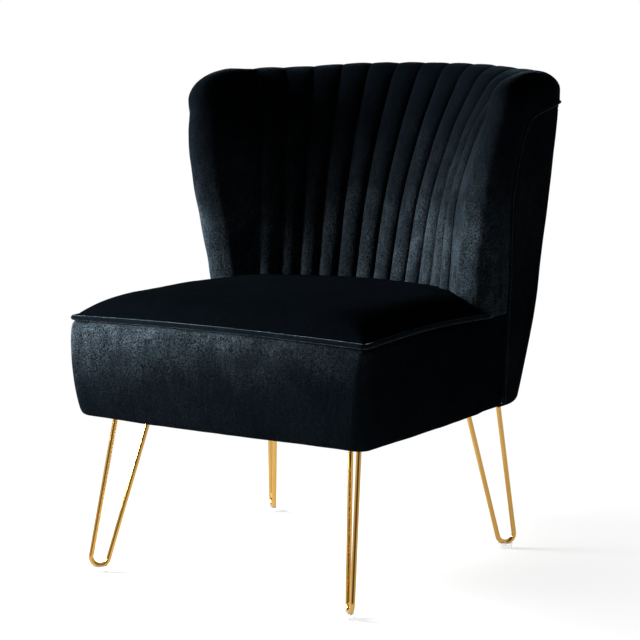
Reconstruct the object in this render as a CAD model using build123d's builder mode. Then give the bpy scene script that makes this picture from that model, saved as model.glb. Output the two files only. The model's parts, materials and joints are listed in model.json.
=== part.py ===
from build123d import *
import os
from math import acos, asin, atan2, cos, pi, sin, sqrt

os.makedirs("parts", exist_ok=True)

# Upholstered side chair. Millimetres, +Z up, the front faces -Y.
# The origin is on the floor, under the middle of the chair's length and width.
# A "depth" is measured backwards from the foremost point of the seat.

# Legs
rod_diameter = 8.0
bend_radius = 14.0
rod_spread = 55.0
glide_height = 6.0
glide_wrap = 3.0
glide_length = 24.0
glide_width = 12.0
foot_half_width = 234.0
front_foot_depth = 23.0
rear_foot_depth = 505.0
front_leg_lean_x = 27.0
front_leg_lean_y = 57.0
rear_leg_lean_x = 27.0
rear_leg_lean_y = 40.0
plate_size = 88.0
plate_thickness = 3.0
plate_inset_x = 17.0
plate_inset_y = 12.0
leg_screw_spacing = 52.0
leg_screw_diameter = 4.0
leg_screw_length = 24.0
leg_screw_head_diameter = 9.0
leg_screw_head_height = 2.0

# Seat frame
seat_underside = 251.0
frame_recess = 6.0
rail_height = 85.0
rail_thickness = 22.0
rail_trim = 14.0
frame_half_width = 242.0
frame_front_depth = 30.0
frame_rear_depth = 505.0
block_size = 84.0
block_height = 32.0
frame_screw_diameter = 5.0
frame_screw_length = 60.0
frame_screw_rise = 22.0
dust_cover_thickness = 1.0
dust_cover_margin = 5.0
strap_width = 50.0
strap_thickness = 1.5
cross_strap_count = 4
cross_strap_gap = 24.0
long_strap_count = 5
long_strap_gap = 30.0

# Seat upholstery
seat_half_width = 271.0
seat_piping_height = 406.0
seat_crown = 37.0
seat_front_bulge = 3.0
seat_corner_radius = 14.0
border_corner_radius = 44.0
border_roll = 22.0
border_draw = 12.0
border_swell = 1.0
border_rear_depth = 388.0
piping_diameter = 8.0
piping_proud = 2.2
soft_gap = 0.4

# Back: heights at which the inside was measured, as shares of the way up its seams, and its shape there
back_foot_rise = 33.0
seam_top_drop = 19.0
inside_shares = (0.0, 0.357, 0.684, 1.0)
inside_half_widths = (184.6, 187.7, 205.0, 245.4)
inside_middle_depths = (464.8, 496.5, 543.5, 605.0)
inside_end_depths = (394.0, 406.5, 434.0, 487.7)
channel_count = 12
channel_bulge = 8.0
pad_thickness = 28.0
liner_thickness = 3.0
liner_end_gap = 6.0
back_levels = 8

# Back: heights at which the outside was measured, as shares of the way from the seat to the welt,
# after its lower edge, and its shape there
outside_shares = (0.0, 0.448, 0.788, 1.0)
outside_half_widths = (266.0, 272.0, 290.0, 306.0, 316.0)
outside_rear_depths = (578.0, 612.0, 626.0, 638.0, 648.0)
outside_corner_radii = (110.0, 56.0, 84.0, 120.0, 142.0)
rear_radius = 700.0
cover_thickness = 6.0
welt_depth = 430.0
welt_drop = 61.0
welt_size = 5.0
welt_proud = 2.5
back_height = 797.0
roll_height = 26.0
crest_roll = 12.5
roll_limit = 0.95

# Wings
wing_front_depth = 355.0
nose_radius = 22.0
wing_bulge = 3.0
wing_drop = 10.0
wing_corner_height = 66.0
wing_corner_length = 115.0
wing_inner_layer = 22.0
wing_cavity_clearance = 17.0
crest_split_angle = 23.5

# Back frame
rib_thickness = 18.0
rib_gap = 3.0
middle_rib_share = 0.428
post_thickness = 22.0
back_post_width = 40.0
back_post_spacing = 220.0
back_post_web = 6.5
wing_post_setback = 65.0
wing_post_length = 40.0
wing_post_lean = 77.0
bolt_diameter = 6.0
bolt_head_diameter = 11.0
bolt_head_height = 4.0
washer_diameter = 16.0
washer_thickness = 1.5
insert_diameter = 9.0
insert_length = 16.0
bolt_drop = 14.0
bolt_spacing = 26.0

# Derived places
back_foot_height = seat_piping_height + back_foot_rise
seam_top_height = back_height - seam_top_drop
welt_height = back_height - welt_drop
inside_heights = [back_foot_height + share * (seam_top_height - back_foot_height) for share in inside_shares]
outside_heights = [back_foot_height + share * (welt_height - back_foot_height) for share in outside_shares]
outside_heights.insert(0, seat_underside)
middle_rib_height = back_foot_height + middle_rib_share * (welt_height - back_foot_height)
wing_post_depth = wing_front_depth + wing_post_setback
wing_cavity_depth = wing_post_depth - wing_cavity_clearance
overall_depth = max(outside_rear_depths) + welt_proud + piping_proud
front_y = piping_proud - overall_depth / 2
frame_bottom = seat_underside + frame_recess
frame_top = frame_bottom + rail_height
plate_top = frame_bottom - dust_cover_thickness
plate_bottom = plate_top - plate_thickness
rail_inner_x = frame_half_width - rail_thickness
front_rail_y = front_y + frame_front_depth
rear_rail_y = front_y + frame_rear_depth
wing_front_y = front_y + wing_front_depth
welt_y = front_y + welt_depth
border_rear_y = front_y + border_rear_depth
wing_height = back_height - wing_drop
pad_bottom = seat_piping_height + soft_gap
top_rib_height = welt_height - rib_thickness - rib_gap


def profile_value(heights, values, height):
    """Smooth value at a height through the measured ones, carried on straight above and below them."""
    spans = len(heights) - 1
    slopes = [(values[i + 1] - values[i]) / (heights[i + 1] - heights[i]) for i in range(spans)]
    ends = [slopes[0]]
    for before, after in zip(slopes, slopes[1:]):
        ends.append(2 * before * after / (before + after) if before * after > 0 else 0.0)
    ends.append(slopes[-1])
    if height <= heights[0]:
        return values[0] + ends[0] * (height - heights[0])
    if height >= heights[-1]:
        return values[-1] + ends[-1] * (height - heights[-1])
    span = max(i for i in range(spans) if heights[i] <= height)
    length = heights[span + 1] - heights[span]
    t = (height - heights[span]) / length
    start = (1 + 2 * t) * (1 - t) ** 2 * values[span] + t * (1 - t) ** 2 * length * ends[span]
    finish = t * t * (3 - 2 * t) * values[span + 1] - t * t * (1 - t) * length * ends[span + 1]
    return start + finish


def outside_value(values, height):
    """Size of the outside of the back at a height, held level above its welt."""
    return profile_value(outside_heights, values, min(height, outside_heights[-1]))


def flip(point):
    """The same point on the other side of the chair."""
    return (-point[0], point[1])


def there_and_back(start, steps):
    """Steps of a half outline on the right, followed by its mirror image back to the start."""
    points = [start] + [step[-1] for step in steps]
    back = []
    for index in reversed(range(len(steps))):
        through = [flip(point) for point in steps[index][:-1]]
        back.append((*through, flip(points[index])))
    return steps + back


def draw_steps(start, steps):
    """Lines and arcs along a chain: a step is an end point, or a point passed through and an end."""
    here = start
    for step in steps:
        if len(step) == 1:
            Line(here, step[0])
        else:
            ThreePointArc(here, step[0], step[1])
        here = step[-1]


def section(height, start, steps):
    """Closed outline on a level plane, filled."""
    with BuildSketch(Plane.XY.offset(height)) as outline:
        with BuildLine():
            draw_steps(start, steps)
        make_face()
    return outline.sketch


def polar(centre, radius, angle):
    """Point on a circle, the angle in radians from +X."""
    return (centre[0] + radius * cos(angle), centre[1] + radius * sin(angle))


def beyond(end, start, extra):
    """Point on the line from start to end, carried on past its end."""
    dx = end[0] - start[0]
    dy = end[1] - start[1]
    share = extra / sqrt(dx * dx + dy * dy)
    return (end[0] + dx * share, end[1] + dy * share)


def tangent_angle(point, centre, radius, side):
    """Angle on a circle where the line from an outside point touches it."""
    dx = point[0] - centre[0]
    dy = point[1] - centre[1]
    return atan2(dy, dx) + side * acos(radius / sqrt(dx * dx + dy * dy))


def inside_arc(height):
    """Centre and radius of the arc through the channel seams, and the angle of its last seam."""
    half = profile_value(inside_heights, inside_half_widths, height)
    middle = front_y + profile_value(inside_heights, inside_middle_depths, height)
    end = front_y + profile_value(inside_heights, inside_end_depths, height)
    sag = middle - end
    radius = (half * half + sag * sag) / (2 * sag)
    centre = (0.0, middle - radius)
    return centre, radius, atan2(end - centre[1], half)


def outside_shape(height, inset):
    """Half width, corner centre, corner radius and joining angle of the outside of the back."""
    half = outside_value(outside_half_widths, height) - inset
    rear = front_y + outside_value(outside_rear_depths, height) - inset
    corner = outside_value(outside_corner_radii, height) - inset
    radius = rear_radius - inset
    corner_x = half - corner
    rise = sqrt((radius - corner) ** 2 - corner_x ** 2)
    centre = (corner_x, rear - radius + rise)
    return half, rear, centre, corner, atan2(rise, corner_x), radius


def outside_steps(height, inset, start_angle):
    """Steps along the outside of the back from an angle on its corner to the middle of the rear."""
    half, rear, centre, corner, joint, radius = outside_shape(height, inset)
    rear_centre = (0.0, rear - radius)
    corner_mid = polar(centre, corner, (start_angle + joint) / 2)
    corner_end = polar(centre, corner, joint)
    rear_mid = polar(rear_centre, radius, (joint + pi / 2) / 2)
    return [(corner_mid, corner_end), (rear_mid, (0.0, rear))]


def reverse_steps(start, steps):
    """The same steps walked from their end back to their start."""
    points = [start] + [step[-1] for step in steps]
    return [(*steps[i][:-1], points[i]) for i in reversed(range(len(steps)))]


def roll_inset(height, top, rise, most):
    """How far a rounded top edge has drawn in at a height."""
    share = min(roll_limit, max(0.0, (height - top + rise) / rise))
    return most * (1 - sqrt(1 - share * share))


def wing_shape(height, seam_inset, nose_inset):
    """Last seam, nose circle and its inner touching angle for the wing at a height."""
    centre, radius, angle = inside_arc(height)
    seam = polar(centre, radius + seam_inset, angle)
    half = outside_value(outside_half_widths, height) - nose_inset
    retreat = roll_inset(height, wing_height, wing_corner_height, wing_corner_length)
    nose_size = nose_radius - nose_inset
    nose = (half - nose_size, wing_front_y + nose_radius + retreat)
    return seam, nose, nose_size, tangent_angle(seam, nose, nose_size, 1)


def wing_face_steps(height, seam_inset, nose_inset):
    """Last seam, and the steps from it round the front edge of the wing to its outer side."""
    seam, nose, nose_size, touch = wing_shape(height, seam_inset, nose_inset)
    inner = polar(nose, nose_size, touch)
    length = sqrt((inner[0] - seam[0]) ** 2 + (inner[1] - seam[1]) ** 2)
    bulge_x = wing_bulge * (inner[1] - seam[1]) / length
    bulge_y = wing_bulge * (inner[0] - seam[0]) / length
    middle = ((seam[0] + inner[0]) / 2 + bulge_x, (seam[1] + inner[1]) / 2 - bulge_y)
    front = polar(nose, nose_size, (touch + 2 * pi) / 2)
    return seam, [(middle, inner), (front, (nose[0] + nose_size, nose[1]))]


def layer_corner(height):
    """Distance from the middle to the back of the wing's inner layer, at the front of the space for its post."""
    seam, steps = wing_face_steps(height, 0.0, 0.0)
    inner = steps[0][-1]
    share = max(0.0, (seam[1] - front_y - wing_cavity_depth) / (seam[1] - inner[1]))
    return seam[0] + share * (inner[0] - seam[0]) + wing_inner_layer


def channel_steps(height, inset):
    """Arcs of the right-hand half of the channels, from the middle seam to the last seam."""
    centre, radius, end_angle = inside_arc(height)
    end_angle += soft_gap / radius
    half_count = channel_count // 2
    pitch = (pi / 2 - end_angle) / half_count
    steps = []
    for index in range(half_count):
        crest = polar(centre, radius + inset - channel_bulge, pi / 2 - (index + 0.5) * pitch)
        seam = polar(centre, radius + inset, pi / 2 - (index + 1) * pitch)
        steps.append((crest, seam))
    return polar(centre, radius + inset, pi / 2), steps


def export(part, name):
    """Label a finished piece and write it."""
    part.label = name
    export_step(part, "parts/" + name + ".step")


# Hairpin legs with their plates and glides. Outward is away from the chair's middle on both axes.
def leg_corner(right, rear):
    """Signs, foot centre and top centre of one leg."""
    sign_x = 1 if right else -1
    sign_y = 1 if rear else -1
    depth = rear_foot_depth if rear else front_foot_depth
    lean_x = rear_leg_lean_x if rear else front_leg_lean_x
    lean_y = rear_leg_lean_y if rear else front_leg_lean_y
    foot = (sign_x * foot_half_width, front_y + depth)
    top = (foot[0] - sign_x * lean_x, foot[1] - sign_y * lean_y)
    return sign_x, sign_y, foot, top


corners = {
    "front_left": leg_corner(False, False),
    "front_right": leg_corner(True, False),
    "rear_left": leg_corner(False, True),
    "rear_right": leg_corner(True, True),
}


def plate_centre(corner):
    """Middle of a mounting plate."""
    sign_x, sign_y, foot, top = corner
    return (top[0] - sign_x * plate_inset_x, top[1] - sign_y * plate_inset_y)


def screw_spots(corner):
    """Three screw places on a plate: the corner beside the rods' weld stays clear."""
    sign_x, sign_y, foot, top = corner
    x, y = plate_centre(corner)
    step = leg_screw_spacing / 2
    signs = ((-1, -1), (-1, 1), (1, -1))
    return [(x + a * sign_x * step, y + b * sign_y * step) for a, b in signs]


all_screw_spots = [spot for corner in corners.values() for spot in screw_spots(corner)]

with BuildPart() as leg_screws:
    with Locations(Plane.XY.offset(plate_bottom)):
        with Locations(*all_screw_spots):
            Cylinder(leg_screw_diameter / 2, leg_screw_length, align=(Align.CENTER, Align.CENTER, Align.MIN))
            Cylinder(
                leg_screw_head_diameter / 2,
                leg_screw_head_height,
                align=(Align.CENTER, Align.CENTER, Align.MAX),
            )
export(leg_screws.part, "leg_screws")

for place, corner in corners.items():
    sign_x, sign_y, foot, top = corner
    bend_bottom = glide_height + rod_diameter / 2
    run = Vector(top[0] - foot[0], top[1] - foot[1], plate_bottom - bend_bottom)
    spread_way = Vector(sign_x, sign_y, 0).normalized()
    slant = run.dot(spread_way)
    up_way = (run - spread_way * slant).normalized()
    leg_plane = Plane(origin=(*foot, bend_bottom), x_dir=spread_way, z_dir=spread_way.cross(up_way))
    rise = run.dot(up_way)
    bend = (0.0, bend_radius)
    outer_top = (slant + rod_spread / 2, rise)
    inner_top = (slant - rod_spread / 2, rise)
    outer_touch = polar(bend, bend_radius, tangent_angle(outer_top, bend, bend_radius, -1))
    inner_touch = polar(bend, bend_radius, tangent_angle(inner_top, bend, bend_radius, 1))
    outer_end = beyond(outer_top, outer_touch, rod_diameter)
    inner_end = beyond(inner_top, inner_touch, rod_diameter)

    with BuildPart() as leg:
        with BuildLine(leg_plane) as leg_line:
            Line(outer_end, outer_touch)
            ThreePointArc(outer_touch, (0, 0), inner_touch)
            Line(inner_touch, inner_end)
        with BuildSketch(Plane(origin=leg_line.line @ 0, z_dir=leg_line.line % 0)):
            Circle(rod_diameter / 2)
        sweep()
        split(bisect_by=Plane.XY.offset(plate_bottom), keep=Keep.BOTTOM)
    export(leg.part, "leg_" + place)

    with BuildPart() as glide:
        with BuildSketch(Plane(origin=(*foot, 0), x_dir=spread_way, z_dir=(0, 0, 1))):
            SlotOverall(glide_length, glide_width)
        extrude(amount=glide_height + glide_wrap)
        add(leg.part, mode=Mode.SUBTRACT)
    export(glide.part, "glide_" + place)

    with BuildPart() as plate:
        with BuildSketch(Plane.XY.offset(plate_bottom)):
            with Locations(plate_centre(corner)):
                RectangleRounded(plate_size, plate_size, plate_size / 8)
        extrude(amount=plate_thickness)
        add(leg_screws.part, mode=Mode.SUBTRACT)
    export(plate.part, "leg_plate_" + place)

    block_x = sign_x * (rail_inner_x - block_size / 2)
    rail_y = rear_rail_y - rail_thickness if sign_y > 0 else front_rail_y + rail_thickness
    with BuildPart() as block:
        with BuildSketch(Plane.XY.offset(frame_bottom)):
            with Locations((block_x, rail_y - sign_y * block_size / 2)):
                Rectangle(block_size, block_size)
        extrude(amount=block_height)
        add(leg_screws.part, mode=Mode.SUBTRACT)
    export(block.part, "leg_block_" + place)

# Fasteners of the frame. Each bolt runs through a post into a threaded insert in a rail.
screw_heights = (frame_bottom + frame_screw_rise, frame_top - frame_screw_rise)
bolt_heights = (frame_top - bolt_drop - bolt_spacing, frame_top - bolt_drop)
side_planes = [
    Plane(origin=(side * frame_half_width, y, 0), x_dir=(0, -side, 0), z_dir=(-side, 0, 0))
    for side in (-1, 1)
    for y in (front_rail_y + rail_thickness / 2, rear_rail_y - rail_thickness * 3 / 4)
]

with BuildPart() as frame_screws:
    for plane in side_planes:
        for height in screw_heights:
            with Locations(plane.offset(0)):
                with Locations((0, height, 0)):
                    Cylinder(
                        frame_screw_diameter / 2,
                        frame_screw_length,
                        align=(Align.CENTER, Align.CENTER, Align.MIN),
                    )
export(frame_screws.part, "frame_screws")

wing_post_y = front_y + wing_post_depth + wing_post_length / 2
wing_post_inner = rail_inner_x - post_thickness
bolt_planes = []
for side in (-1, 1):
    bolt_planes.append(
        Plane(origin=(side * wing_post_inner, wing_post_y, 0), x_dir=(0, side, 0), z_dir=(side, 0, 0))
    )
    bolt_planes.append(
        Plane(
            origin=(side * back_post_spacing / 2, rear_rail_y + post_thickness, 0),
            x_dir=(1, 0, 0),
            z_dir=(0, -1, 0),
        )
    )
insert_start = post_thickness + soft_gap
bolt_end = insert_start + insert_length


def along_bolts(start, radius, length):
    """One cylinder on each bolt's line, from a distance past the post's outer face."""
    for plane in bolt_planes:
        for height in bolt_heights:
            with Locations(plane.offset(start)):
                with Locations((0, height, 0)):
                    Cylinder(radius, length, align=(Align.CENTER, Align.CENTER, Align.MIN))


with BuildPart() as back_washers:
    along_bolts(-washer_thickness, washer_diameter / 2, washer_thickness)
    for plane in bolt_planes:
        for height in bolt_heights:
            with Locations(plane.offset(-washer_thickness)):
                with Locations((0, height, 0)):
                    Cylinder(
                        bolt_diameter / 2,
                        washer_thickness,
                        align=(Align.CENTER, Align.CENTER, Align.MIN),
                        mode=Mode.SUBTRACT,
                    )
export(back_washers.part, "back_washers")

with BuildPart() as back_bolts:
    along_bolts(-washer_thickness - bolt_head_height, bolt_head_diameter / 2, bolt_head_height)
    along_bolts(-washer_thickness, bolt_diameter / 2, washer_thickness + bolt_end)
export(back_bolts.part, "back_bolts")

with BuildPart() as back_inserts:
    along_bolts(insert_start, insert_diameter / 2, insert_length)
    add(back_bolts.part, mode=Mode.SUBTRACT)
export(back_inserts.part, "back_inserts")


def cut_fasteners():
    """Holes for every frame screw, bolt and insert that passes through the piece being made."""
    add(frame_screws.part, mode=Mode.SUBTRACT)
    add(back_bolts.part, mode=Mode.SUBTRACT)
    add(back_inserts.part, mode=Mode.SUBTRACT)


# Timber seat frame
rail_length = rear_rail_y - front_rail_y
for name, side in (("left", -1), ("right", 1)):
    with BuildPart() as side_rail:
        with BuildSketch(Plane.XY.offset(frame_bottom)):
            with BuildLine():
                Polyline(
                    (side * rail_inner_x, front_rail_y),
                    (side * frame_half_width, front_rail_y),
                    (side * frame_half_width, rear_rail_y - rail_trim),
                    (side * (frame_half_width - rail_trim), rear_rail_y),
                    (side * rail_inner_x, rear_rail_y),
                    close=True,
                )
            make_face()
        extrude(amount=rail_height)
        cut_fasteners()
    export(side_rail.part, "seat_rail_" + name)

for name, y in (("front", front_rail_y + rail_thickness / 2), ("rear", rear_rail_y - rail_thickness / 2)):
    with BuildPart() as cross_rail:
        with BuildSketch(Plane.XY.offset(frame_bottom)):
            with Locations((0, y)):
                Rectangle(2 * rail_inner_x, rail_thickness)
        extrude(amount=rail_height)
        cut_fasteners()
    export(cross_rail.part, "seat_rail_" + name)

with BuildPart() as dust_cover:
    with BuildSketch(Plane.XY.offset(plate_top)):
        with Locations((0, (front_rail_y + rear_rail_y) / 2)):
            Rectangle(2 * (frame_half_width - dust_cover_margin), rail_length - 2 * dust_cover_margin)
    extrude(amount=dust_cover_thickness)
    add(leg_screws.part, mode=Mode.SUBTRACT)
export(dust_cover.part, "dust_cover")

web_middle_y = (front_rail_y + rear_rail_y) / 2
with BuildPart() as webbing_crosswise:
    with BuildSketch(Plane.XY.offset(frame_top)):
        with Locations((0, web_middle_y)):
            with GridLocations(0, strap_width + cross_strap_gap, 1, cross_strap_count):
                Rectangle(2 * rail_inner_x + rail_thickness, strap_width)
    extrude(amount=strap_thickness)
export(webbing_crosswise.part, "webbing_crosswise")

with BuildPart() as webbing_lengthwise:
    with BuildSketch(Plane.XY.offset(frame_top + strap_thickness)):
        with Locations((0, web_middle_y)):
            with GridLocations(strap_width + long_strap_gap, 0, long_strap_count, 1):
                Rectangle(strap_width, rail_length - rail_thickness)
    extrude(amount=strap_thickness)
export(webbing_lengthwise.part, "webbing_lengthwise")


# Seat upholstery
def seat_front_steps(half, front, bulge, corner):
    """Steps from the middle of the front round the corner to the start of the side."""
    flat_end = half - corner
    front_mid = (flat_end / 2, front - bulge * 3 / 4)
    centre = (flat_end, front + corner)
    return [(front_mid, (flat_end, front)), (polar(centre, corner, -pi / 4), (half, front + corner))]


def seat_outline(height, half, front, bulge, corner, rear_inset):
    """Outline of the cushion: front, sides up to the wings, and the arc in front of the channels."""
    centre, radius, angle = inside_arc(pad_bottom)
    seat_radius = radius - channel_bulge - 2 * soft_gap - rear_inset
    seam, nose, nose_size, touch = wing_shape(pad_bottom, 0, 0)
    side_end = wing_front_y - soft_gap - rear_inset
    notch = nose[0] - nose_size - wing_bulge - soft_gap - rear_inset
    arc_end = polar(centre, seat_radius, angle)
    arc_mid = polar(centre, seat_radius, (angle + pi / 2) / 2)
    steps = seat_front_steps(half, front, bulge, corner)
    steps += [((half, side_end),), ((notch, side_end),), (arc_end,)]
    steps += [(arc_mid, (0.0, centre[1] + seat_radius))]
    start = (0.0, front - bulge)
    return section(height, start, there_and_back(start, steps))


foam_bottom = frame_top + 2 * strap_thickness
with BuildPart() as seat_foam:
    foam_half = frame_half_width - soft_gap
    for height in (foam_bottom, seat_piping_height - soft_gap):
        add(seat_outline(height, foam_half, front_rail_y + soft_gap, soft_gap, seat_corner_radius / 2, soft_gap))
    loft()
export(seat_foam.part, "seat_foam")

seat_front = front_y + seat_front_bulge
piping_inset = piping_diameter / 2 - piping_proud
piping_half = seat_half_width - piping_inset
piping_front = seat_front + piping_inset
piping_middle = (0.0, piping_front - seat_front_bulge)
piping_steps = seat_front_steps(piping_half, piping_front, seat_front_bulge, seat_corner_radius)
piping_steps += [((piping_half, border_rear_y),)]
with BuildPart() as seat_piping:
    with BuildLine(Plane.XY.offset(seat_piping_height)) as piping_line:
        draw_steps((piping_half, border_rear_y), reverse_steps(piping_middle, piping_steps))
        draw_steps(piping_middle, [tuple(flip(point) for point in step) for step in piping_steps])
    with BuildSketch(Plane(origin=piping_line.line @ 0, z_dir=piping_line.line % 0)):
        Circle(piping_diameter / 2)
    sweep()
export(seat_piping.part, "seat_piping")

crown_shares = (0.0, 0.27, 0.62, 0.87, 1.0)
crown_draws = (2.0, 16.0, 50.0, 100.0, 165.0)
crown_rear_draws = (0.0, 2.0, 5.0, 12.0, 40.0)
with BuildPart() as seat_top:
    for share, draw, rear_draw in zip(crown_shares, crown_draws, crown_rear_draws):
        outline = seat_outline(
            seat_piping_height + share * seat_crown,
            seat_half_width - draw,
            seat_front + draw,
            seat_front_bulge * (1 - share / 2),
            seat_corner_radius + draw / 4,
            rear_draw,
        )
        add(outline)
    loft()
    add(seat_piping.part, mode=Mode.SUBTRACT)
export(seat_top.part, "seat_top")

# Border: its lower edge is rolled under, its inner wall lies on the frame and the foam
inner_front = (0.0, front_rail_y - soft_gap)
inner_half = frame_half_width + soft_gap
border_top = seat_piping_height - piping_diameter / 2 - soft_gap / 2
border_levels = []
for share in (0.0, 0.12, 0.3, 0.6, 1.0):
    roll_share = 1 - sqrt(1 - (1 - share) ** 2)
    border_levels.append((seat_underside + share * border_roll, roll_share * border_draw))
border_levels.append(((seat_underside + border_top) / 2, -border_swell))
border_levels.append((border_top, border_swell))
with BuildPart() as seat_border:
    for height, draw in border_levels:
        half = seat_half_width - draw
        front = seat_front + draw
        start = (0.0, front - seat_front_bulge)
        rise = (height - seat_underside) / (border_top - seat_underside)
        corner = border_corner_radius + rise * (seat_corner_radius - border_corner_radius)
        steps = seat_front_steps(half, front, seat_front_bulge, corner)
        steps += [((half, border_rear_y),), ((inner_half, border_rear_y),)]
        steps += [((inner_half, inner_front[1]),), (inner_front,)]
        add(section(height, start, there_and_back(start, steps)))
    loft(ruled=True)
export(seat_border.part, "seat_border")


# Back frame: raked rear posts, wing posts that lean outwards, and curved ribs slotted round the posts
def side_copy(shape):
    """The same piece on the left of the chair."""
    with BuildPart() as copy:
        add(shape)
        mirror(about=Plane.YZ, mode=Mode.REPLACE)
    return copy.part


back_post_x = back_post_spacing / 2
post_top = top_rib_height + rib_thickness
post_inner_x = back_post_x - back_post_width / 2
top_centre, top_radius, top_angle = inside_arc(post_top)
top_rib_inner = top_radius + pad_thickness + liner_thickness + rib_gap / 2
top_y = top_centre[1] + sqrt(top_rib_inner ** 2 - post_inner_x ** 2) + back_post_web
with BuildPart() as back_post:
    with BuildSketch(Plane.YZ.offset(post_inner_x)):
        with BuildLine():
            Polyline(
                (rear_rail_y, frame_bottom),
                (rear_rail_y + post_thickness, frame_bottom),
                (rear_rail_y + post_thickness, frame_top),
                (top_y + post_thickness, post_top),
                (top_y, post_top),
                (rear_rail_y, frame_top),
                close=True,
            )
        make_face()
    extrude(amount=back_post_width)
    cut_fasteners()
back_posts = {"right": back_post.part, "left": side_copy(back_post.part)}

wing_post_bottom = frame_bottom + block_height + soft_gap
with BuildPart() as wing_post:
    with BuildSketch(Plane.XZ.offset(-front_y - wing_post_depth)):
        with BuildLine():
            Polyline(
                (wing_post_inner, wing_post_bottom),
                (rail_inner_x, wing_post_bottom),
                (rail_inner_x, frame_top),
                (rail_inner_x + wing_post_lean, top_rib_height),
                (wing_post_inner + wing_post_lean, top_rib_height),
                (wing_post_inner, frame_top),
                close=True,
            )
        make_face()
    extrude(amount=-wing_post_length)
    cut_fasteners()
wing_posts = {"right": wing_post.part, "left": side_copy(wing_post.part)}

for name in ("left", "right"):
    export(back_posts[name], "back_post_" + name)
    export(wing_posts[name], "wing_post_" + name)

# Curved ribs between the pad and the outside of the back
def rib_outline(height):
    """Outline of a rib that clears the liner at its top face and the cover at its bottom face."""
    centre, radius, angle = inside_arc(height + rib_thickness)
    inner_radius = radius + pad_thickness + liner_thickness + rib_gap / 2
    start = (0.0, centre[1] + inner_radius)
    inner_end = polar(centre, inner_radius, angle)
    inner_mid = polar(centre, inner_radius, (angle + pi / 2) / 2)
    arm_inner = (layer_corner(height + rib_thickness) + rib_gap, front_y + wing_cavity_depth + rib_gap)
    inset = cover_thickness + rib_gap
    half, rear, corner_centre, corner, joint, rear_size = outside_shape(height, inset)
    steps = [(inner_mid, inner_end), (arm_inner,), ((half, arm_inner[1]),), ((half, corner_centre[1]),)]
    steps += outside_steps(height, inset, 0.0)
    return section(height, start, there_and_back(start, steps))


def cut_posts():
    """Slots in the piece being made where the posts pass through it."""
    for name in ("left", "right"):
        add(back_posts[name], mode=Mode.SUBTRACT)
        add(wing_posts[name], mode=Mode.SUBTRACT)


ribs = {"seat": pad_bottom, "middle": middle_rib_height, "top": top_rib_height}
for name, height in ribs.items():
    with BuildPart() as rib:
        add(rib_outline(height))
        extrude(amount=rib_thickness)
        cut_posts()
    export(rib.part, "back_rib_" + name)

with BuildPart() as back_rib_lower:
    inset = cover_thickness + soft_gap
    half, rear, corner_centre, corner, joint, rear_size = outside_shape(frame_bottom, inset)
    start_angle = asin((rear_rail_y - corner_centre[1]) / corner)
    start = (0.0, rear_rail_y)
    steps = [(polar(corner_centre, corner, start_angle),)]
    steps += outside_steps(frame_bottom, inset, start_angle)
    add(section(frame_bottom, start, there_and_back(start, steps)))
    extrude(amount=rib_thickness)
    cut_posts()
export(back_rib_lower.part, "back_rib_lower")


# Inside of the back
def level_heights(low, high, count):
    """Evenly spaced heights, both ends included."""
    return [low + (high - low) * index / (count - 1) for index in range(count)]


def arc_band(height, inner_extra, outer_extra, end_gap):
    """Closed band between two arcs that follow the channel seams at a distance."""
    centre, radius, angle = inside_arc(height)
    angle += end_gap / radius
    middle = (angle + pi / 2) / 2
    inner = radius + inner_extra
    outer = radius + outer_extra
    start = (0.0, centre[1] + inner)
    steps = [(polar(centre, inner, middle), polar(centre, inner, angle)), (polar(centre, outer, angle),)]
    steps += [(polar(centre, outer, middle), (0.0, centre[1] + outer))]
    return section(height, start, there_and_back(start, steps))


with BuildPart() as back_liner:
    for height in level_heights(pad_bottom, welt_height - rib_gap, back_levels):
        add(arc_band(height, pad_thickness + soft_gap, pad_thickness + liner_thickness, liner_end_gap))
    loft()
export(back_liner.part, "back_liner")


def pad_section(height):
    """Channelled pad below the crest: scalloped in front, a plain arc on the liner."""
    centre, radius, angle = inside_arc(height)
    angle += soft_gap / radius
    outer = radius + pad_thickness - soft_gap
    start, steps = channel_steps(height, 0.0)
    steps += [(polar(centre, outer, angle),)]
    steps += [(polar(centre, outer, (angle + pi / 2) / 2), (0.0, centre[1] + outer))]
    return section(height, start, there_and_back(start, steps))


def crest_section(height):
    """Channelled pad where it is rolled over the top edge, down to the welt on the rear."""
    draw = roll_inset(height, back_height, roll_height, crest_roll)
    half, rear, corner_centre, corner, joint, rear_size = outside_shape(height, draw)
    split = crest_split_angle * pi / 180 + soft_gap / corner
    start, steps = channel_steps(height, draw)
    steps += [(polar(corner_centre, corner, split),)]
    steps += outside_steps(height, draw, split)
    return section(height, start, there_and_back(start, steps))


crest_shares = (0.0, 0.35, 0.55, 0.7, 0.82, 0.91, 0.97, 1.0)
with BuildPart() as inside_back:
    for height in level_heights(pad_bottom, welt_height, back_levels):
        add(pad_section(height))
    loft()
    for share in crest_shares:
        add(crest_section(welt_height + share * (back_height - welt_height)))
    loft(ruled=True)
export(inside_back.part, "inside_back")


# Wings: a padded layer round the wing post, closed above it, and a strip down the side of the seat
def wing_section(height):
    """Wing below the crest: the padded layer with the space for the post behind it."""
    seam, steps = wing_face_steps(height, 0.0, 0.0)
    centre, radius, angle = inside_arc(height)
    half = outside_value(outside_half_widths, height)
    cavity_y = front_y + wing_cavity_depth
    steps += [((half, welt_y),), ((half - cover_thickness, welt_y),), ((half - cover_thickness, cavity_y),)]
    steps += [((layer_corner(height), cavity_y),), (polar(centre, radius + pad_thickness, angle),), (seam,)]
    return section(height, seam, steps)


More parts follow.
